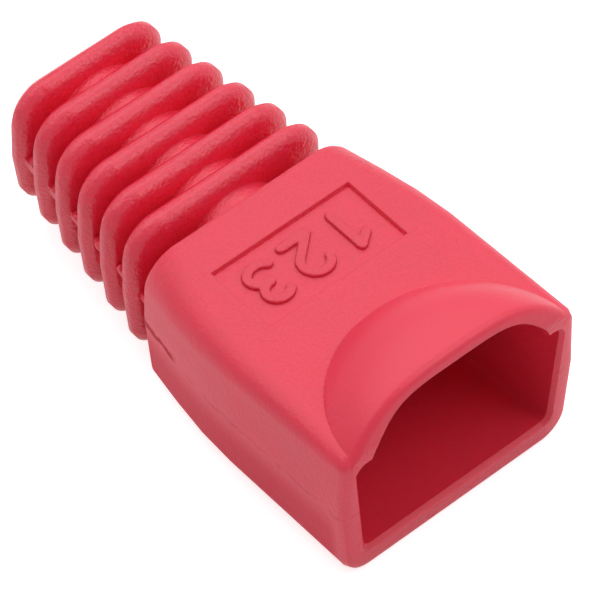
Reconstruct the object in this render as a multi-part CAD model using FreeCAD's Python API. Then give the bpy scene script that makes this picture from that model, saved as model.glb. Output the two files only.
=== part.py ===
"""Strain relief boot for a modular network plug, moulded in one piece from soft plastic.

The frame: +X is the boot's width, -Y is the mouth that takes the plug, +Y is the end
where the cable leaves, and +Z is up, on the side of the latch hood. The origin is on
the surface that the boot rests on, in the middle of its length and width.
All sizes are in millimetres.
"""
import FreeCAD, Part
import math
import os

Vector = FreeCAD.Vector

# Housing, which takes the back of the plug
WIDTH = 14.3                 # over the sides, at the parting line
BACK_WIDTH = 12.6            # the same, where the neck begins
HEIGHT = 8.7                 # floor to roof, without the hood
LENGTH = 15.05               # mouth to the face that the neck grows from
STRAIGHT_LENGTH = 8.3        # from the mouth, before the sides begin to close in
PARTING_HEIGHT = 4.75        # where the two halves of the mould meet
ROOF_DRAFT = 0.12            # each side narrows this much from the parting line to the roof
FLOOR_DRAFT = 0.42           # and this much to the floor
MOUTH_ROOF_RADIUS = 0.8      # of the roof's long edges at the mouth
ROOF_RADIUS = 1.3            # where the sides begin to close in
BACK_ROOF_RADIUS = 2.0       # and where the neck begins
FLOOR_RADIUS = 1.5
MOUTH_RADIUS = 0.45          # round the mouth's outer edge and the hood's rim
BACK_RADIUS = 0.35           # round the face that the neck grows from
CLOSING_BIAS = 0.6           # 0 closes the sides along a parabola, and more closes them sooner
CLOSING_STRIPS = 3           # that make up the curve of the closing sides
ROUND_STRIPS = 2             # that make up each of those roundings

# Plug cavity
ROOF_THICKNESS = 0.9
FLOOR_THICKNESS = 1.5
SIDE_THICKNESS = 0.9
CAVITY_DEPTH = 12.4
CAVITY_RADIUS = 0.5
CAVITY_DRAFT = 0.6           # each side narrows this much from the roof to the floor
CAVITY_LEAN = 0.25           # and this much more than the outside does, towards the neck
CAVITY_CHAMFER = 0.2         # round its edge in the mouth

# Hood over the plug's latch
HOOD_WIDTH = 12.95           # where it meets the roof, at the mouth
HOOD_FOOT = 0.35             # how far out it runs down into the rounded edge of the roof
HOOD_LENGTH = 5.95
HOOD_RISE = 2.35             # above the roof
HOOD_POWER = 3.5             # 2 is a dome, and more gives steeper sides and a flatter crown
HOOD_INNER_POWER = 4.5       # the same, for the space under it
DOME_REACH = 1.12            # its surface is drawn this much beyond its outline
DOME_LEAD = 0.3              # and this share of its length ahead of the mouth
DOME_COLUMN_COUNT = 16       # of the steps between the points that shape it, across
DOME_ROW_COUNT = 10          # and along
HOOD_THICKNESS = 0.65
HOOD_SHELF = 0.75            # ledge left in the mouth on each side of the hood
HOOD_TILT = 11.0             # degrees that the rim leans back

# Recessed panel on the roof
PANEL_WIDTH = 8.4
PANEL_LENGTH = 4.15
PANEL_DEPTH = 0.2
PANEL_DRAFT = 0.1            # its walls lean outwards by this much
PANEL_SETBACK = 2.55         # from the back of the housing

# Neck: a tube with ribs round it
RIB_COUNT = 6
RIB_PITCH = 1.97
RIB_THICKNESS = 1.3
RIB_CREST = 0.9              # depth over which a rib rounds off to its rim
RIB_STRIPS = 5               # that make up the rounding
NECK_GAP = 0.97              # between the housing and the first rib
FIRST_RIB_WIDTH = 11.95
END_RIB_WIDTH = 9.15
FIRST_RIB_LIFT = 0.4         # height of its lower edge above the floor
END_RIB_LIFT = 1.15
RIB_ROOF_RADIUS = 2.1
RIB_FLOOR_RADIUS = 1.7
RIB_CROWN = 0.16             # how far the ribs stand above the roof
CORE_RADIUS = 3.05
AXIS_HEIGHT = 5.0
BORE_RADIUS = 2.55
BORE_LEAD_RADIUS = 3.1       # cable's way in from the cavity
BORE_LEAD_LENGTH = 1.4
BORE_CHAMFER = 0.3
WEB_THICKNESS = 0.5          # thin web along each side of the tube, at the parting line
WEB_INSET = 0.35             # from the ribs' edge

OVERRUN = 0.5                # how far a shape that cuts runs past what it cuts

NECK_LENGTH = NECK_GAP + (RIB_COUNT - 1) * RIB_PITCH + RIB_THICKNESS
MOUTH = -(LENGTH + NECK_LENGTH) / 2
BACK = MOUTH + LENGTH
CABLE_END = BACK + NECK_LENGTH


def mix(start, end, share):
    """The value that lies this share of the way from start to end."""
    return start + (end - start) * share


def rounded_ring(points, radii, y):
    """Closed wire across the boot at y, with each corner rounded by its own radius."""
    corners = []
    for index, (x, z) in enumerate(points):
        here = Vector(x, y, z)
        before = Vector(points[index - 1][0], y, points[index - 1][1])
        following = points[(index + 1) % len(points)]
        after = Vector(following[0], y, following[1])
        to_before = (before - here).normalize()
        to_after = (after - here).normalize()
        radius = radii[index]
        half_angle = to_before.getAngle(to_after) / 2
        reach = radius / math.tan(half_angle)
        inward = (to_before + to_after).normalize()
        crown = here + inward * (radius / math.sin(half_angle) - radius)
        corners.append((here + to_before * reach, crown, here + to_after * reach))
    edges = []
    for index, (start, crown, end) in enumerate(corners):
        if radii[index] > 0:
            edges.append(Part.Arc(start, crown, end).toShape())
        edges.append(Part.makeLine(end, corners[(index + 1) % len(corners)][0]))
    return Part.Wire(edges)


def outline(half_width, top, bottom, top_radius, bottom_radius, y):
    """The boot's section: widest at the parting line, drafted to roof and floor."""
    points = [
        (-half_width + ROOF_DRAFT, top),
        (half_width - ROOF_DRAFT, top),
        (half_width, PARTING_HEIGHT),
        (half_width - FLOOR_DRAFT, bottom),
        (-half_width + FLOOR_DRAFT, bottom),
        (-half_width, PARTING_HEIGHT),
    ]
    radii = [top_radius, top_radius, 0.0, bottom_radius, bottom_radius, 0.0]
    return rounded_ring(points, radii, y)


def half_width_at(distance):
    """Half of the housing's width at this distance from the mouth."""
    share = max(0.0, (distance - STRAIGHT_LENGTH) / (LENGTH - STRAIGHT_LENGTH))
    closing = share * share * (1 + CLOSING_BIAS * (1 - share))
    return mix(WIDTH, BACK_WIDTH, closing) / 2


def housing_body():
    """Solid outer form of the housing: straight at the mouth, then closing in."""
    def section(distance, inset):
        share = (distance - STRAIGHT_LENGTH) / (LENGTH - STRAIGHT_LENGTH)
        top_radius = mix(ROOF_RADIUS, BACK_ROOF_RADIUS, share)
        if distance <= MOUTH_RADIUS:
            top_radius = MOUTH_ROOF_RADIUS
        radii = (top_radius - inset, FLOOR_RADIUS - inset)
        return outline(half_width_at(distance) - inset, HEIGHT - inset, inset, *radii, MOUTH + distance)

    def rounding(radius, share):
        """How far an edge of this radius has gone forward and in, at this share of its turn."""
        angle = math.pi / 2 * share
        return radius * math.sin(angle), radius * (1 - math.cos(angle))

    rings = []
    for step in range(ROUND_STRIPS + 1):
        forward, inset = rounding(MOUTH_RADIUS, 1 - step / ROUND_STRIPS)
        rings.append(section(MOUTH_RADIUS - forward, inset))
    for step in range(CLOSING_STRIPS):
        rings.append(section(mix(STRAIGHT_LENGTH, LENGTH - BACK_RADIUS, step / CLOSING_STRIPS), 0.0))
    for step in range(ROUND_STRIPS + 1):
        forward, inset = rounding(BACK_RADIUS, step / ROUND_STRIPS)
        rings.append(section(LENGTH - BACK_RADIUS + forward, inset))
    return Part.makeLoft(rings, True, True)


def cavity():
    """Space for the plug, narrower towards its back as the housing is."""
    rings = []
    for distance, lean in (
        (-CAVITY_CHAMFER, -2 * CAVITY_CHAMFER),
        (CAVITY_CHAMFER, 0.0),
        (CAVITY_DEPTH, CAVITY_LEAN),
    ):
        flare = max(0.0, -lean)
        half_width = half_width_at(max(distance, 0.0)) - SIDE_THICKNESS - lean
        points = [
            (-half_width, HEIGHT - ROOF_THICKNESS + flare),
            (half_width, HEIGHT - ROOF_THICKNESS + flare),
            (half_width - CAVITY_DRAFT, FLOOR_THICKNESS - flare),
            (-half_width + CAVITY_DRAFT, FLOOR_THICKNESS - flare),
        ]
        rings.append(rounded_ring(points, [CAVITY_RADIUS + flare] * 4, MOUTH + distance))
    return Part.makeLoft(rings, True, True)


def spaced(start, end, strips):
    """Evenly spaced values from start to end, with this many steps between them."""
    return [mix(start, end, step / strips) for step in range(strips + 1)]


def dome(half_width, length, base, rise, power):
    """Crown of the hood as a block with a domed top, from below the roof upwards."""
    across = spaced(-DOME_REACH, DOME_REACH, DOME_COLUMN_COUNT)
    along = spaced(-DOME_LEAD, DOME_REACH, DOME_ROW_COUNT)
    grid = []
    for v in along:
        row = []
        for u in across:
            reach = math.hypot(u, v)
            height = base + rise * (1.0 - reach ** power)
            row.append(Vector(u * half_width, MOUTH + v * length, height))
        grid.append(row)
    surface = Part.BSplineSurface()
    surface.interpolate(grid)
    return surface.toShape().extrude(Vector(0, 0, -HEIGHT))


def above(height):
    """A block as wide as the hood, above this height and behind the hood's leaning rim."""
    width = HOOD_WIDTH + 2 * HOOD_FOOT
    block = Part.makeBox(width, LENGTH, HEIGHT, Vector(-width / 2, MOUTH, height))
    wedge = Part.makeBox(2 * WIDTH, LENGTH, 2 * HEIGHT, Vector(-WIDTH, MOUTH - LENGTH, HEIGHT))
    hinge = Vector(0, MOUTH, HEIGHT)
    wedge.rotate(hinge, Vector(1, 0, 0), -HOOD_TILT)
    return block.cut(wedge)


def looks_out(face):
    """True if a face looks out of the mouth."""
    u_start, u_end, v_start, v_end = face.ParameterRange
    return face.normalAt((u_start + u_end) / 2, (v_start + v_end) / 2).y < -0.9


def rim_edges(shell):
    """The edges above the roof between a face that looks out of the mouth and one that doesn't."""
    found = []
    for edge in shell.Edges:
        faces = shell.ancestorsOfType(edge, Part.Face)
        if edge.BoundBox.ZMax > HEIGHT and sum(looks_out(face) for face in faces) == 1:
            found.append(edge)
    return found


def hood_outside():
    """Outer form of the hood, which runs down into the roof and the sides that carry it."""
    shell = dome(HOOD_WIDTH / 2, HOOD_LENGTH, HEIGHT, HOOD_RISE, HOOD_POWER)
    shell = shell.common(above(HEIGHT - MOUTH_RADIUS))
    return shell.makeFillet(MOUTH_RADIUS, rim_edges(shell))


def hood_inside():
    """Space under the hood, open to the mouth in front and to the cavity below."""
    shelf_edge = half_width_at(0.0) - SIDE_THICKNESS - HOOD_SHELF
    ceiling = HEIGHT - ROOF_THICKNESS
    rise = HEIGHT + HOOD_RISE - HOOD_THICKNESS - ceiling
    length = HOOD_LENGTH * shelf_edge / (HOOD_WIDTH / 2)
    space = dome(shelf_edge, length, ceiling, rise, HOOD_INNER_POWER)
    corner = Vector(-WIDTH, MOUTH - OVERRUN, ceiling - OVERRUN)
    block = Part.makeBox(2 * WIDTH, LENGTH, 2 * HEIGHT, corner)
    return space.common(block)


def panel():
    """Shallow recess in the roof, between the hood and the neck, with leaning walls."""
    middle = BACK - PANEL_SETBACK - PANEL_LENGTH / 2

    def rectangle(draft, z):
        x = PANEL_WIDTH / 2 + draft
        y = PANEL_LENGTH / 2 + draft
        corners = [(-x, -y), (x, -y), (x, y), (-x, y), (-x, -y)]
        return Part.makePolygon([Vector(across, middle + along, z) for across, along in corners])

    low = rectangle(-PANEL_DRAFT, HEIGHT - PANEL_DEPTH)
    high = rectangle(PANEL_DRAFT, HEIGHT + PANEL_DEPTH)
    return Part.makeLoft([low, high], True, True)


def rib(number):
    """One rib, counted from the housing, with a fully rounded rim."""
    share = number / (RIB_COUNT - 1)
    half_width = mix(FIRST_RIB_WIDTH, END_RIB_WIDTH, share) / 2
    lift = mix(FIRST_RIB_LIFT, END_RIB_LIFT, share)
    top = HEIGHT + RIB_CROWN
    middle = BACK + NECK_GAP + number * RIB_PITCH + RIB_THICKNESS / 2
    rings = []
    for step in range(RIB_STRIPS + 1):
        angle = mix(-math.pi / 2, math.pi / 2, step / RIB_STRIPS)
        inset = RIB_CREST * (1 - math.cos(angle))
        radii = (RIB_ROOF_RADIUS - inset, RIB_FLOOR_RADIUS - inset)
        y = middle + RIB_THICKNESS / 2 * math.sin(angle)
        rings.append(outline(half_width - inset, top - inset, lift + inset, *radii, y))
    return Part.makeLoft(rings, True, True)


def web():
    """Thin web on both sides of the tube, which follows the taper of the ribs."""
    first = FIRST_RIB_WIDTH / 2 - WEB_INSET
    end = END_RIB_WIDTH / 2 - WEB_INSET
    low = PARTING_HEIGHT - WEB_THICKNESS / 2
    far = CABLE_END - RIB_THICKNESS / 2
    near = BACK - BACK_RADIUS
    corners = [(-first, near), (first, near), (end, far), (-end, far), (-first, near)]
    plate = Part.Face(Part.makePolygon([Vector(x, y, low) for x, y in corners]))
    return plate.extrude(Vector(0, 0, WEB_THICKNESS))


def along_axis(radius, start, length):
    """Round bar on the neck's axis."""
    return Part.makeCylinder(radius, length, Vector(0, start, AXIS_HEIGHT), Vector(0, 1, 0))


def bore():
    """The cable's way through: a lead-in from the cavity, the bore and its chamfer."""
    start = MOUTH + CAVITY_DEPTH
    centre = Vector(0, start, AXIS_HEIGHT)
    hole = along_axis(BORE_RADIUS, start - OVERRUN, CABLE_END - start + 2 * OVERRUN)
    lead = Part.makeCone(BORE_LEAD_RADIUS, BORE_RADIUS, BORE_LEAD_LENGTH, centre, Vector(0, 1, 0))
    rim = Vector(0, CABLE_END - BORE_CHAMFER, AXIS_HEIGHT)
    wide = BORE_RADIUS + BORE_CHAMFER
    flare = Part.makeCone(BORE_RADIUS, wide, BORE_CHAMFER, rim, Vector(0, 1, 0))
    return hole.fuse([lead, flare])


def boot():
    """The whole boot, which is one moulding."""
    housing = housing_body().fuse(hood_outside())
    core = along_axis(CORE_RADIUS, BACK - BACK_RADIUS, CABLE_END - BACK)
    ribs = [rib(number) for number in range(RIB_COUNT)]
    solid = housing.fuse([core, web()] + ribs)
    for space in (cavity(), hood_inside(), panel(), bore()):
        solid = solid.cut(space)
    return solid.removeSplitter()


os.makedirs("parts", exist_ok=True)
boot().exportStep("parts/boot.step")
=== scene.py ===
"""Looks of a soft plastic strain relief boot for a modular network plug.

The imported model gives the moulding. This file finishes it: satin soft plastic with a
moulded grain, the seam and the specks that the mould leaves, plain raised figures in
the roof's panel, and a white stage with soft lamps.

All places are in metres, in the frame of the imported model: -Y is the plug's mouth,
+Y the cable's end and +Z up.
"""
import math
import random

import bmesh
import bpy
from mathutils import Matrix, Vector


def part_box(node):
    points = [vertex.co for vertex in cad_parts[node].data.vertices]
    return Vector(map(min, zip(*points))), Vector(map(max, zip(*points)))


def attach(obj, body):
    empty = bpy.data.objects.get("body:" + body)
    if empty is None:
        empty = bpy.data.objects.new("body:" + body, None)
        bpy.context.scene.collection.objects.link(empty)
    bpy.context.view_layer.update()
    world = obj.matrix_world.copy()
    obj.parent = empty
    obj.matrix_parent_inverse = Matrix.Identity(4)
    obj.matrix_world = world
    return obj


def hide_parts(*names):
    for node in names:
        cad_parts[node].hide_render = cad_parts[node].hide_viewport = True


bl_info = {
    "name": "Strain relief boot",
    "version": (1, 0, 0),
    "blender": (4, 5, 0),
    "location": "3D View > Sidebar > Boot",
    "description": "Finishes a strain relief boot and sets a white stage for it",
    "category": "Object",
}

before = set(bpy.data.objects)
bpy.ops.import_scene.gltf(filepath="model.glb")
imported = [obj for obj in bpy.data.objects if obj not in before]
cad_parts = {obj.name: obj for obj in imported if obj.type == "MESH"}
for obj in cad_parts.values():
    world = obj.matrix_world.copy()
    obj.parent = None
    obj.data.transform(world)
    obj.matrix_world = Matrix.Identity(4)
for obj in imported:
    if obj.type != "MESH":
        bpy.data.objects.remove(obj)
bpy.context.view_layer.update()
LOW, HIGH = (Vector(corner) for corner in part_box("boot"))

MM = 0.001

# The housing
MOUTH = LOW.y
HOUSING_LENGTH = 15.05 * MM
BACK = MOUTH + HOUSING_LENGTH
ROOF = 8.7 * MM
SEAM_HEIGHT = 4.75 * MM           # where the two halves of the mould meet

# The plug's cavity in it
CAVITY_FLOOR = 1.5 * MM
CAVITY_ROOF = 7.8 * MM

# The recessed panel on the roof
PANEL_DEPTH = 0.2 * MM
PANEL_SETBACK = 2.55 * MM         # from the back of the housing
PANEL_LENGTH = 4.15 * MM
PANEL_WIDTH = 8.4 * MM
PANEL_MIDDLE = BACK - PANEL_SETBACK - PANEL_LENGTH / 2
PANEL_FLOOR = ROOF - PANEL_DEPTH

# The neck
RIB_COUNT = 6
RIB_PITCH = 1.97 * MM
RIB_THICKNESS = 1.3 * MM
NECK_GAP = 0.97 * MM
FIRST_RIB_HALF_WIDTH = 5.975 * MM
END_RIB_HALF_WIDTH = 4.575 * MM
WEB_THICKNESS = 0.5 * MM
WEB_INSET = 0.35 * MM             # from the ribs' edge

# The specks on the webs
SPECKS_PER_WEB = 3
SPECK_RADIUS = (0.15 * MM, 0.26 * MM)
SPECK_INSET = (0.15 * MM, 0.45 * MM)    # from the web's edge
SPECK_SPREAD = 0.2 * MM           # either way from the web's middle
SPECK_STRETCH = (0.8, 1.3)        # along each axis
SPECK_BUMPS = (0.85, 1.15)        # of its points, from its middle

# The finish of the meshes
MERGE_DISTANCE = 0.002 * MM
SLIVER_LENGTH = 0.001 * MM
ARC_STEP = 15                     # degrees from one point of a round stroke to the next
JOINING_GRID = 0.035 * MM         # of the remesh that joins strokes or lumps

# The stage
WHITE = (1.0, 1.0, 1.0, 1.0)
FLOOR_HALF_SIZE = 1.5
FLOOR_GAP = 0.02 * MM             # keeps the floor's face off the boot's underside
REFLECTED_GLOW = 0.65             # share of the floor's glow that reflections see too
LAMP_DISTANCE = 0.45
VIEW_MIDDLE = Vector((0.0, MOUTH + 14 * MM, ROOF - 4.55 * MM))
VIEW_SHIFT_RIGHT = 1.918 * MM
VIEW_SHIFT_DOWN = 1.345 * MM


# ---------------------------------------------------------------- shader expressions

class Wire:
    """A socket of a node tree that can stand in an expression."""

    def __init__(self, graph, socket):
        self.graph = graph
        self.socket = socket

    def maths(self, operation, *values):
        """A Math node on these values."""
        return self.graph.node("ShaderNodeMath", {"operation": operation}, values)

    def __add__(self, other):
        return self.maths("ADD", self, other)

    def __radd__(self, other):
        return self.maths("ADD", other, self)

    def __sub__(self, other):
        return self.maths("SUBTRACT", self, other)

    def __rsub__(self, other):
        return self.maths("SUBTRACT", other, self)

    def __mul__(self, other):
        return self.maths("MULTIPLY", self, other)

    def __rmul__(self, other):
        return self.maths("MULTIPLY", other, self)

    def __abs__(self):
        return self.maths("ABSOLUTE", self)

    def larger(self, other):
        """The larger of the two."""
        return self.maths("MAXIMUM", self, other)

    def rises(self, low, high):
        """0 below low, 1 above high and smooth in between."""
        settings = {"interpolation_type": "SMOOTHSTEP"}
        return self.graph.node("ShaderNodeMapRange", settings, (self, low, high))

    def falls(self, low, high):
        """1 below low, 0 above high and smooth in between."""
        return 1 - self.rises(low, high)

    def part(self, name):
        """Another output of the same node."""
        return Wire(self.graph, self.socket.node.outputs[name])


class Graph:
    """The nodes of one material or world."""

    def __init__(self, owner):
        owner.use_nodes = True
        self.owner = owner
        self.tree = owner.node_tree
        self.tree.nodes.clear()

    def node(self, kind, settings, values=(), output=0):
        """Add a node, set it up, feed its sockets, and return one of its outputs.

        The sockets' values or wires come in order, or as a dictionary by name or number,
        and the output is given by name or number.
        """
        made = self.tree.nodes.new(kind)
        for name, value in settings.items():
            setattr(made, name, value)
        fed = values.items() if isinstance(values, dict) else enumerate(values)
        for key, value in fed:
            if isinstance(value, Wire):
                self.tree.links.new(value.socket, made.inputs[key])
            else:
                made.inputs[key].default_value = value
        return Wire(self, made.outputs[output] if len(made.outputs) else None)

    def noise(self, place, scale, detail, roughness=0.5):
        """Cloudy noise from 0 to 1. Its scale is in waves per metre."""
        return self.node("ShaderNodeTexNoise", {}, {
            "Vector": place, "Scale": scale, "Detail": detail, "Roughness": roughness})

    def mix(self, share, first, second):
        """Mix two colours by a share from 0 to 1."""
        # The sockets for colours share their names with others, so they go by number
        return self.node("ShaderNodeMix", {"data_type": "RGBA"}, {0: share, 6: first, 7: second}, 2)

    def path(self):
        """1 for what the camera sees straight, and else 0."""
        return self.node("ShaderNodeLightPath", {})

    def seen(self):
        """1 for what the camera sees, straight or in a reflection or through glass, and else 0."""
        path = self.path()
        return path.larger(path.part("Is Glossy Ray")).larger(path.part("Is Transmission Ray"))

    def finish(self, shader, kind="ShaderNodeOutputMaterial"):
        self.node(kind, {}, (shader,))
        return self.owner


def shown(red, green, blue):
    """A colour as it shows on screen, 0 to 1, in the values that shaders use."""
    def channel(value):
        return value / 12.92 if value <= 0.04045 else ((value + 0.055) / 1.055) ** 2.4
    return (channel(red), channel(green), channel(blue), 1.0)


def scaled(colour, red, green, blue):
    """A shader colour with each channel times a factor."""
    return (colour[0] * red, colour[1] * green, colour[2] * blue, 1.0)


# ---------------------------------------------------------------- where the plastic differs

def seam_mask(across, along, height, broken):
    """The mould's seam: a thin broken line, and a crease near the neck on the left. Their darkening in
    the colour is painted shade; their bump and roughness are the seam's own.
    """
    wander = (broken - 0.5) * (1.0 * MM)
    from_seam = abs(height - SEAM_HEIGHT + wander)
    line = from_seam.falls(0.03 * MM, 0.16 * MM) * broken.rises(0.40, 0.6) * 0.25
    near_back = along.rises(BACK - 3.2 * MM, BACK - 2.4 * MM)
    on_left = across.falls(-1 * MM, 0.0)
    crease = from_seam.falls(0.08 * MM, 0.24 * MM) * near_back * on_left
    outside = abs(across).rises(6.0 * MM, 6.1 * MM)
    return line.larger(crease) * outside


def panel_masks(across, along, height):
    """The panel's outline, and the walls of the panel and of the figures in it, which both get painted
    shade as dark lines in the colour.
    """
    beside = abs(across) - PANEL_WIDTH / 2
    before = abs(along - PANEL_MIDDLE) - PANEL_LENGTH / 2
    on_roof = height.rises(ROOF - 0.3 * MM, ROOF - 0.25 * MM)
    outline = abs(beside.larger(before)).falls(0.02 * MM, 0.08 * MM) * on_roof
    in_panel = beside.falls(0.08 * MM, 0.1 * MM) * before.falls(0.08 * MM, 0.1 * MM)
    above_floor = height.rises(PANEL_FLOOR + 0.005 * MM, PANEL_FLOOR + 0.02 * MM)
    below_tops = height.falls(PANEL_FLOOR + 0.12 * MM, PANEL_FLOOR + 0.16 * MM)
    return outline, in_panel * above_floor * below_tops


def cavity_mask(across, height, housing):
    """The walls and the floor of the plug's cavity, which are darkened in the colour as painted shade
    and get a weaker grain.
    """
    between_walls = abs(across).falls(5.7 * MM, 6.0 * MM)
    under_roof = height.falls(CAVITY_ROOF - 0.4 * MM, CAVITY_ROOF - 0.2 * MM)
    above_floor = height.rises(CAVITY_FLOOR - 0.3 * MM, CAVITY_FLOOR)
    return between_walls * under_roof * above_floor * housing


def low_side_mask(along, height, housing, cavity):
    """The lower half of the housing's outside, back from the mouth's rim: darkened in the colour as
    painted shade, and rougher.
    """
    back_from_rim = along.rises(MOUTH + 0.3 * MM, MOUTH + 1.2 * MM)
    return height.falls(2.6 * MM, 5.2 * MM) * housing * (1 - cavity) * back_from_rim


# ---------------------------------------------------------------- materials

def soft_plastic(settings):
    """Satin soft plastic with the fine leathery grain of an etched mould."""
    graph = Graph(bpy.data.materials.new("soft_plastic"))
    place = graph.node("ShaderNodeTexCoord", {}, output="Object")
    across = graph.node("ShaderNodeSeparateXYZ", {}, (place,))
    along = across.part("Y")
    height = across.part("Z")

    fine = graph.noise(place, 7000.0, 1.0, 0.6)
    pebble = graph.node("ShaderNodeTexVoronoi", {"feature": "SMOOTH_F1"}, {
        "Vector": place, "Scale": 4200.0, "Smoothness": 0.5, "Randomness": 1.0})
    leather = graph.noise(place, 1500.0, 3.0, 0.6)
    cloud = graph.noise(place, 260.0, 2.0)
    broken = graph.noise(place, 900.0, 2.0)

    neck = along.rises(BACK, BACK + 0.8 * MM)
    housing = 1 - neck
    seam = seam_mask(across, along, height, broken)
    outline, walls = panel_masks(across, along, height)
    cavity = cavity_mask(across, height, housing)
    low_side = low_side_mask(along, height, housing, cavity)

    # The grain is weak in the cavity, on the hood and on the housing's sides
    smooth = cavity.larger(height.rises(ROOF, ROOF + 0.4 * MM))
    beside = abs(across).rises(5.4 * MM, 6.4 * MM)
    etched = (1 - smooth * housing * 0.75) * (1 - beside * housing * 0.5)
    grain = (fine * 0.7 + pebble * 0.4 + leather * (neck * 0.4 + 0.15)) * etched
    bump = graph.node("ShaderNodeBump", {}, {
        "Strength": settings.grain_strength, "Distance": settings.grain_depth,
        "Height": grain - seam * 0.1})

    full = shown(*settings.colour)
    worn = scaled(full, 0.96, 0.96, 0.96)
    # Painted shade: a darker copy of the plastic's colour for the cavity and the lower side
    shaded = scaled(full, 0.74, 0.6, 0.6)
    # Painted shade: a deeper, darker red for the grain's pits, the seam, the panel's outline and the
    # walls of the panel and the figures
    painted_deep_shade = scaled(full, 0.62, 0.3, 0.3)
    plain = graph.mix(cloud.rises(0.35, 0.7), worn, full)
    # Painted shade: the cavity's walls and floor and the lower half of the outside are darkened
    plain = graph.mix(cavity * 0.65 + low_side * 0.45, plain, shaded)
    # Painted shade in the grain: its pits, the low points of the fine noise, are darkened towards the
    # deep red
    pits = fine.falls(0.36, 0.60) * 0.15 * etched
    # Painted shade lines: the seam and its crease, the panel's outline and the walls of the panel and
    # the figures are darkened where shade falls
    painted_shade_lines = seam.larger(outline * 0.3).larger(walls * 0.35)
    colour = graph.mix(painted_shade_lines, graph.mix(pits, plain, painted_deep_shade), painted_deep_shade)

    uneven = cloud * 0.05 + fine * 0.15 + (settings.roughness - 0.10)
    roughness = uneven - neck * 0.08 + low_side * 0.2 + seam * 0.4
    shader = graph.node("ShaderNodeBsdfPrincipled", {}, {
        "Base Color": colour, "Roughness": roughness, "Normal": bump, "IOR": 1.5,
        "Subsurface Weight": settings.glow_through, "Subsurface Radius": (1.0, 0.15, 0.2),
        "Subsurface Scale": settings.glow_reach})
    return graph.finish(shader)


def floor_white(glow):
    """White floor that reads as a white background and still keeps the shadow."""
    graph = Graph(bpy.data.materials.new("floor_white"))
    diffuse = graph.node("ShaderNodeBsdfDiffuse", {}, ((0.9, 0.9, 0.9, 1.0),))
    level = graph.seen() * (glow * REFLECTED_GLOW) + graph.path() * (glow * (1 - REFLECTED_GLOW))
    light = graph.node("ShaderNodeEmission", {}, (WHITE, level))
    return graph.finish(graph.node("ShaderNodeAddShader", {}, (diffuse, light)))


# ---------------------------------------------------------------- helpers for pieces

def add_piece(name, mesh, material):
    """Put a finished mesh in the scene as a piece of the boot."""
    piece = bpy.data.objects.new(name, mesh)
    bpy.context.scene.collection.objects.link(piece)
    mesh.materials.clear()
    mesh.materials.append(material)
    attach(piece, "root")
    return piece


def mesh_of_curve(curve, transform):
    """Turn a curve into a mesh and put it in place."""
    carrier = bpy.data.objects.new("carrier", curve)
    bpy.context.scene.collection.objects.link(carrier)
    graph = bpy.context.evaluated_depsgraph_get()
    mesh = bpy.data.meshes.new_from_object(carrier.evaluated_get(graph))
    bpy.data.objects.remove(carrier)
    mesh.transform(transform)
    return mesh


def join_lumps(piece):
    """Join overlapping lumps into one smooth skin with eased edges."""
    joined = piece.modifiers.new("join_lumps", "REMESH")
    joined.mode = "VOXEL"
    joined.voxel_size = JOINING_GRID
    joined.use_smooth_shade = True
    eased = piece.modifiers.new("ease_edges", "SMOOTH")
    eased.factor = 0.5
    eased.iterations = 2


# ---------------------------------------------------------------- settings

class MouldingSettings(bpy.types.PropertyGroup):
    """Finish of the moulding."""
    colour: bpy.props.FloatVectorProperty(
        name="Colour", description="Colour of the plastic, as it shows on screen",
        subtype="COLOR_GAMMA", size=3, min=0.0, max=1.0, default=(0.95, 0.21, 0.325))
    roughness: bpy.props.FloatProperty(
        name="Roughness", description="0 is a mirror and 1 is chalk",
        subtype="FACTOR", min=0.0, max=1.0, default=0.42)
    glow_through: bpy.props.FloatProperty(
        name="Glow through", description="Share of the light that scatters inside the plastic",
        subtype="FACTOR", min=0.0, max=1.0, default=0.5)
    glow_reach: bpy.props.FloatProperty(
        name="Glow reach", description="How far light travels inside the plastic",
        subtype="DISTANCE", unit="LENGTH", min=0.0, default=0.8 * MM)
    grain_depth: bpy.props.FloatProperty(
        name="Grain depth", description="Height of the moulded grain",
        subtype="DISTANCE", unit="LENGTH", min=0.0, default=0.06 * MM)
    grain_strength: bpy.props.FloatProperty(
        name="Grain strength", description="How clearly the grain shows",
        subtype="FACTOR", min=0.0, max=1.0, default=0.9)
    housing_angle: bpy.props.FloatProperty(
        name="Housing's crisp angle", description="Edges of the housing sharper than this stay crisp",
        subtype="ANGLE", min=0.0, default=math.radians(26))
    neck_angle: bpy.props.FloatProperty(
        name="Neck's crisp angle", description="Edges of the neck sharper than this stay crisp",
        subtype="ANGLE", min=0.0, default=math.radians(58))


class FigureSettings(bpy.types.PropertyGroup):
    """Raised figures in the roof's panel."""
    size: bpy.props.FloatProperty(
        name="Height", description="Height of a figure, between the middles of its strokes",
        subtype="DISTANCE", unit="LENGTH", min=0.0, default=2.28 * MM)
    spacing: bpy.props.FloatProperty(
        name="Spacing", description="From the middle of one figure to the next",
        subtype="DISTANCE", unit="LENGTH", min=0.0, default=2.42 * MM)
    stroke: bpy.props.FloatProperty(
        name="Stroke", description="Width of the strokes at the panel's floor",
        subtype="DISTANCE", unit="LENGTH", min=0.0, default=0.54 * MM)
    relief: bpy.props.FloatProperty(
        name="Relief", description="How far the strokes stand above the panel's floor",
        subtype="DISTANCE", unit="LENGTH", min=0.0, default=0.17 * MM)


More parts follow.
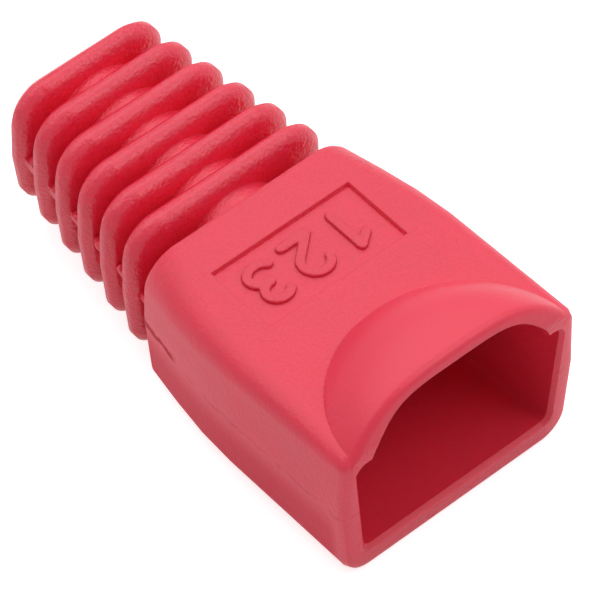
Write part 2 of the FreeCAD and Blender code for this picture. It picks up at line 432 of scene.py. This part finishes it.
class StageSettings(bpy.types.PropertyGroup):
    """Camera and lamps."""
    azimuth: bpy.props.FloatProperty(
        name="Azimuth", description="Camera's turn round the boot; 0 looks into the mouth",
        subtype="ANGLE", default=math.radians(-41.16))
    elevation: bpy.props.FloatProperty(
        name="Elevation", description="Camera's height as an angle",
        subtype="ANGLE", default=math.radians(50.61))
    distance: bpy.props.FloatProperty(
        name="Distance", description="From the camera to the boot",
        subtype="DISTANCE", unit="LENGTH", min=0.05, default=0.25)
    frame_width: bpy.props.FloatProperty(
        name="Frame width", description="What the frame takes in at the boot's distance",
        subtype="DISTANCE", unit="LENGTH", min=0.001, default=28.13 * MM)
    room: bpy.props.FloatProperty(
        name="Room light", description="Even light from all round",
        min=0.0, default=0.27)
    key: bpy.props.FloatProperty(
        name="Key light", description="Brightness of the large soft box above and behind",
        min=0.0, default=1.44)
    fill: bpy.props.FloatProperty(
        name="Fill light", description="Brightness of the soft box at the front right",
        min=0.0, default=2.6)
    side: bpy.props.FloatProperty(
        name="Side light", description="Brightness of the low soft box at the right",
        min=0.0, default=0.7)
    floor_glow: bpy.props.FloatProperty(
        name="Floor glow", description="White that the floor adds, in full for the camera alone",
        min=0.0, default=0.68)


# ---------------------------------------------------------------- figures

def arc(x, y, radius_x, radius_y, start, end):
    """Points on an arc, from one angle to another in degrees."""
    steps = max(2, round(abs(end - start) / ARC_STEP))
    points = []
    for step in range(steps + 1):
        angle = math.radians(start + (end - start) * step / steps)
        points.append((x + radius_x * math.cos(angle), y + radius_y * math.sin(angle)))
    return points


# The strokes of each figure, which is 1 high with its middle at 0, 0
FIGURES = {
    "1": [[(-0.22, 0.28), (0.08, 0.5)], [(0.08, 0.5), (0.08, -0.5)]],
    "2": [arc(0.0, 0.19, 0.32, 0.31, 165, -36) + [(-0.33, -0.5)], [(-0.33, -0.5), (0.35, -0.5)]],
    "3": [arc(0.0, 0.255, 0.28, 0.245, 150, -95), arc(0.0, -0.25, 0.33, 0.25, 95, -150)],
}


def add_stroke(curve, points):
    """Add a stroke with rounded ends to a bevelled curve."""
    slant = 0.7       # how far out and how wide the rounding is at half its turn
    tip = 0.05        # and how wide it ends
    start, second = Vector(points[0]), Vector(points[1])
    end, before = Vector(points[-1]), Vector(points[-2])
    out_start = (start - second).normalized() * curve.bevel_depth
    out_end = (end - before).normalized() * curve.bevel_depth
    line = [(start + out_start, tip), (start + out_start * slant, slant)]
    line += [(Vector(point), 1.0) for point in points]
    line += [(end + out_end * slant, slant), (end + out_end, tip)]
    spline = curve.splines.new("POLY")
    spline.points.add(len(line) - 1)
    for knot, (place, radius) in zip(spline.points, line):
        knot.co = (place.x, place.y, 0.0, 1.0)
        knot.radius = radius


# ---------------------------------------------------------------- operators

class BOOT_OT_moulding(bpy.types.Operator):
    """Smooth the moulding and give it its soft plastic"""
    bl_idname = "boot.moulding"
    bl_label = "Finish moulding"

    def execute(self, context):
        settings = context.scene.boot_moulding
        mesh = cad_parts["boot"].data.copy()
        shape = bmesh.new()
        shape.from_mesh(mesh)
        bmesh.ops.remove_doubles(shape, verts=shape.verts, dist=MERGE_DISTANCE)
        bmesh.ops.dissolve_degenerate(shape, edges=shape.edges, dist=SLIVER_LENGTH)
        for face in shape.faces:
            face.smooth = True
        neck_start = BACK + 0.1 * MM
        for edge in shape.edges:
            middle = (edge.verts[0].co.y + edge.verts[1].co.y) / 2
            limit = settings.neck_angle if middle > neck_start else settings.housing_angle
            edge.smooth = edge.calc_face_angle(math.pi) < limit
        shape.to_mesh(mesh)
        shape.free()
        skin = add_piece("skin", mesh, soft_plastic(settings))
        normals = skin.modifiers.new("even_normals", "WEIGHTED_NORMAL")
        normals.keep_sharp = True
        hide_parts("boot")
        return {"FINISHED"}


class BOOT_OT_figures(bpy.types.Operator):
    """Raise plain figures in the roof's panel"""
    bl_idname = "boot.figures"
    bl_label = "Raise figures"

    def execute(self, context):
        settings = context.scene.boot_figures
        curve = bpy.data.curves.new("figures", "CURVE")
        curve.dimensions = "3D"
        curve.bevel_depth = settings.stroke / 2
        curve.bevel_resolution = 5
        for index, figure in enumerate("123"):
            middle = (index - 1) * settings.spacing
            for stroke in FIGURES[figure]:
                add_stroke(curve, [(middle + x * settings.size, y * settings.size) for x, y in stroke])
        place = Matrix.Translation((0.0, PANEL_MIDDLE, PANEL_FLOOR))
        turned = Matrix.Rotation(math.pi, 4, "Z")
        mesh = mesh_of_curve(curve, place @ turned)
        self.cut_level(mesh, PANEL_FLOOR + settings.relief)
        join_lumps(add_piece("figures", mesh, bpy.data.materials["soft_plastic"]))
        return {"FINISHED"}

    def cut_level(self, mesh, top):
        """Cut the round strokes off at one height and close them with flat tops."""
        shape = bmesh.new()
        shape.from_mesh(mesh)
        everything = shape.verts[:] + shape.edges[:] + shape.faces[:]
        cut = bmesh.ops.bisect_plane(
            shape, geom=everything, plane_co=(0.0, 0.0, top), plane_no=(0.0, 0.0, 1.0),
            clear_outer=True)
        rims = [edge for edge in cut["geom_cut"] if isinstance(edge, bmesh.types.BMEdge)]
        bmesh.ops.holes_fill(shape, edges=rims, sides=0)
        shape.to_mesh(mesh)
        shape.free()


class BOOT_OT_specks(bpy.types.Operator):
    """Leave the rough specks of the mould on the webs between the ribs"""
    bl_idname = "boot.specks"
    bl_label = "Leave specks"

    def execute(self, context):
        chance = random.Random(7)
        shape = bmesh.new()
        for gap in range(RIB_COUNT):
            rib_front = BACK + NECK_GAP + gap * RIB_PITCH
            start = BACK if gap == 0 else rib_front - RIB_PITCH + RIB_THICKNESS
            middle = (start + rib_front) / 2
            share = (gap - 0.5) / (RIB_COUNT - 1)
            half_width = FIRST_RIB_HALF_WIDTH + (END_RIB_HALF_WIDTH - FIRST_RIB_HALF_WIDTH) * share
            for side in (-1, 1):
                for _ in range(SPECKS_PER_WEB):
                    self.speck(shape, chance, Vector((
                        side * (half_width - WEB_INSET - chance.uniform(*SPECK_INSET)),
                        middle + chance.uniform(-SPECK_SPREAD, SPECK_SPREAD),
                        SEAM_HEIGHT + WEB_THICKNESS / 2,
                    )))
        mesh = bpy.data.meshes.new("specks")
        shape.to_mesh(mesh)
        shape.free()
        join_lumps(add_piece("specks", mesh, bpy.data.materials["soft_plastic"]))
        return {"FINISHED"}

    def speck(self, shape, chance, middle):
        """One uneven lump."""
        radius = chance.uniform(*SPECK_RADIUS)
        made = bmesh.ops.create_icosphere(shape, subdivisions=2, radius=radius)["verts"]
        stretch = Vector([chance.uniform(*SPECK_STRETCH) for _ in range(3)])
        bmesh.ops.scale(shape, vec=stretch, verts=made)
        for vert in made:
            vert.co *= chance.uniform(*SPECK_BUMPS)
        bmesh.ops.translate(shape, vec=middle, verts=made)


class BOOT_OT_stage(bpy.types.Operator):
    """Set the white floor, the lamps and the camera"""
    bl_idname = "boot.stage"
    bl_label = "Set stage"

    def execute(self, context):
        settings = context.scene.boot_stage
        self.floor(context, settings)
        self.room(context, settings)
        for name, towards, size, level in (
            ("key_box", (0.02, 0.42, 0.81), (0.84, 0.44), settings.key),
            ("fill_box", (0.45, -0.45, 0.77), (0.25, 0.25), settings.fill),
            ("side_box", (0.95, 0.10, 0.30), (0.30, 0.20), settings.side),
        ):
            self.lamp(context, name, towards, size, level)
        self.camera(context, settings)
        context.scene.view_settings.view_transform = "Standard"
        return {"FINISHED"}

    def floor(self, context, settings):
        """Wide white floor under the boot."""
        mesh = bpy.data.meshes.new("floor")
        shape = bmesh.new()
        bmesh.ops.create_grid(shape, x_segments=1, y_segments=1, size=FLOOR_HALF_SIZE)
        bmesh.ops.translate(shape, vec=(0.0, 0.0, LOW.z - FLOOR_GAP), verts=shape.verts)
        shape.to_mesh(mesh)
        shape.free()
        floor = bpy.data.objects.new("floor", mesh)
        context.scene.collection.objects.link(floor)
        mesh.materials.append(floor_white(settings.floor_glow))

    def room(self, context, settings):
        """Even light from all round, which is white where it is seen."""
        graph = Graph(bpy.data.worlds.new("room"))
        level = graph.seen() * (1.0 - settings.room) + settings.room
        light = graph.node("ShaderNodeBackground", {}, (WHITE, level))
        context.scene.world = graph.finish(light, "ShaderNodeOutputWorld")

    def lamp(self, context, name, towards, size, level):
        """Soft box in one direction from the boot, whose face shines at the given level."""
        direction = Vector(towards).normalized()
        light = bpy.data.lights.new(name, "AREA")
        light.shape = "RECTANGLE"
        light.size, light.size_y = size
        light.energy = level * math.pi * size[0] * size[1]
        lamp = bpy.data.objects.new(name, light)
        lamp.location = (LOW + HIGH) / 2 + direction * LAMP_DISTANCE
        lamp.rotation_euler = direction.to_track_quat("Z", "Y").to_euler()
        context.scene.collection.objects.link(lamp)

    def camera(self, context, settings):
        """Camera that looks down on the roof and into the mouth."""
        turn = settings.azimuth
        lift = settings.elevation
        outward = math.cos(lift)
        back = Vector((math.sin(turn) * outward, -math.cos(turn) * outward, math.sin(lift)))
        right = Vector((math.cos(turn), math.sin(turn), 0.0))
        up = back.cross(right)
        target = VIEW_MIDDLE + right * VIEW_SHIFT_RIGHT - up * VIEW_SHIFT_DOWN
        data = bpy.data.cameras.new("camera")
        data.sensor_width = 36.0
        data.lens = data.sensor_width * settings.distance / settings.frame_width
        data.clip_start = 0.01
        camera = bpy.data.objects.new("camera", data)
        turned = Matrix((right, up, back)).transposed().to_4x4()
        camera.matrix_world = Matrix.Translation(target + back * settings.distance) @ turned
        context.scene.collection.objects.link(camera)
        context.scene.camera = camera


class BOOT_PT_panel(bpy.types.Panel):
    """Lists the settings and the steps that finish the boot."""
    bl_label = "Boot"
    bl_idname = "BOOT_PT_panel"
    bl_space_type = "VIEW_3D"
    bl_region_type = "UI"
    bl_category = "Boot"

    def draw(self, context):
        scene = context.scene
        for group in (scene.boot_moulding, scene.boot_figures, scene.boot_stage):
            for name in group.__annotations__:
                self.layout.prop(group, name)
        for step in STEPS:
            self.layout.operator(step.bl_idname)


STEPS = (BOOT_OT_moulding, BOOT_OT_figures, BOOT_OT_specks, BOOT_OT_stage)
SETTINGS = (MouldingSettings, FigureSettings, StageSettings)
CLASSES = SETTINGS + STEPS + (BOOT_PT_panel,)


def register():
    for item in CLASSES:
        bpy.utils.register_class(item)
    bpy.types.Scene.boot_moulding = bpy.props.PointerProperty(type=MouldingSettings)
    bpy.types.Scene.boot_figures = bpy.props.PointerProperty(type=FigureSettings)
    bpy.types.Scene.boot_stage = bpy.props.PointerProperty(type=StageSettings)


def unregister():
    del bpy.types.Scene.boot_stage
    del bpy.types.Scene.boot_figures
    del bpy.types.Scene.boot_moulding
    for item in reversed(CLASSES):
        bpy.utils.unregister_class(item)


def main():
    register()
    bpy.ops.boot.moulding()
    bpy.ops.boot.figures()
    bpy.ops.boot.specks()
    bpy.ops.boot.stage()


if __name__ == "__main__":
    main()
